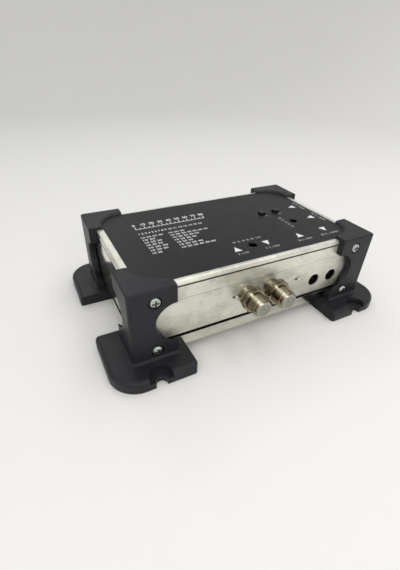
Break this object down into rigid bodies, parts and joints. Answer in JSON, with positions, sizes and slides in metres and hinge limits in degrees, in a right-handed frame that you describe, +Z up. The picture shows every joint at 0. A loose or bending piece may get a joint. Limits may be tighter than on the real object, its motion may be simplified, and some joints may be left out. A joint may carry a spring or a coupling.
{
  "type": "rf modulator",
  "caption": "Shallow tinned steel box with a dark top and moulded corner brackets on fixing feet; aerial, power, picture and sound sockets, with channel buttons and trimmers in its lid.",
  "frame": {"origin": "on the table, midway between the four feet", "axes": "+X along the front to the picture and sound sockets' side, -Y the way the aerial sockets face, +Z up"},
  "size_m": [0.1538, 0.104, 0.0424],
  "materials": {
    "tinned_steel": "satin tin plate with faint mottling",
    "label_black": "satin printed film",
    "bracket_plastic": "fine matt moulded plastic",
    "screw_zinc": "bright zinc plate",
    "socket_nickel": "warm nickel plate",
    "socket_insulator": "translucent pale plastic",
    "contact_metal": "bright contact plating",
    "power_plastic": "black moulding",
    "video_plastic": "yellow moulding",
    "audio_plastic": "white moulding",
    "circuit_board": "solder resist",
    "pillar_nylon": "natural nylon",
    "button_plastic": "black moulding",
    "switch_plastic": "dark moulding",
    "trimmer_plastic": "blue moulding",
    "rotor_plastic": "pale moulding",
    "chip_epoxy": "moulded epoxy",
    "can_aluminium": "drawn can",
    "ferrite": "grey ferrite",
    "copper_winding": "varnished copper wire",
    "heat_sink_black": "black anodised"
  },
  "bodies": {
    "root": {"audio_contact": "contact_metal", "audio_insulator": "audio_plastic", "audio_shell": "socket_nickel", "board_pillars": "pillar_nylon", "board_posts": "pillar_nylon", "board_screws": "screw_zinc", "bottom_cover": "tinned_steel", "bracket_back_left": "bracket_plastic", "bracket_back_right": "bracket_plastic", "bracket_front_left": "bracket_plastic", "bracket_front_right": "bracket_plastic", "bracket_screws_back": "screw_zinc", "bracket_screws_front": "screw_zinc", "channel_down_switch": "switch_plastic", "channel_up_switch": "switch_plastic", "choke_winding": "copper_winding", "control_board": "circuit_board", "control_chip": "chip_epoxy", "crystal": "can_aluminium", "dc_in_pin": "contact_metal", "dc_in_socket": "power_plastic", "dc_in_spring": "contact_metal", "dc_out_pin": "contact_metal", "dc_out_socket": "power_plastic", "dc_out_spring": "contact_metal", "filter_capacitors": "can_aluminium", "header_pins": "contact_metal", "heat_sink": "heat_sink_black", "label_panel": "label_black", "level_trimmer_body": "trimmer_plastic", "lid": "tinned_steel", "main_board": "circuit_board", "modulator_chip": "chip_epoxy", "picture_trimmer_body": "trimmer_plastic", "power_choke": "ferrite", "regulator": "chip_epoxy", "regulator_screw": "screw_zinc", "rf_in_barrel": "socket_nickel", "rf_in_contact": "contact_metal", "rf_in_insulator": "socket_insulator", "rf_in_nut": "socket_nickel", "rf_in_washer": "socket_nickel", "rf_out_barrel": "socket_nickel", "rf_out_contact": "contact_metal", "rf_out_insulator": "socket_insulator", "rf_out_nut": "socket_nickel", "rf_out_washer": "socket_nickel", "rf_shield": "tinned_steel", "side_frame": "tinned_steel", "switch_domes": "contact_metal", "video_contact": "contact_metal", "video_insulator": "video_plastic", "video_shell": "socket_nickel"},
    "channel_down_button": {"channel_down_button": "button_plastic"},
    "channel_up_button": {"channel_up_button": "button_plastic"},
    "level_rotor": {"level_trimmer_rotor": "rotor_plastic"},
    "picture_rotor": {"picture_trimmer_rotor": "rotor_plastic"}
  },
  "joints": [
    {"name": "channel_down_press", "type": "slide", "parent": "root", "child": "channel_down_button", "axis": [0, 0, -1], "range_m": [0, 0.0004], "stiffness_N_per_m": 2500},
    {"name": "channel_up_press", "type": "slide", "parent": "root", "child": "channel_up_button", "axis": [0, 0, -1], "range_m": [0, 0.0004], "stiffness_N_per_m": 2500},
    {"name": "level_turn", "type": "hinge", "parent": "root", "child": "level_rotor", "pos_m": [0.0022, -0.0239, 0.016], "axis": [0, 0, 1], "range_deg": [-105, 105]},
    {"name": "picture_turn", "type": "hinge", "parent": "root", "child": "picture_rotor", "pos_m": [0.039, -0.0095, 0.033], "axis": [0, 0, 1], "range_deg": [-105, 105]}
  ]
}
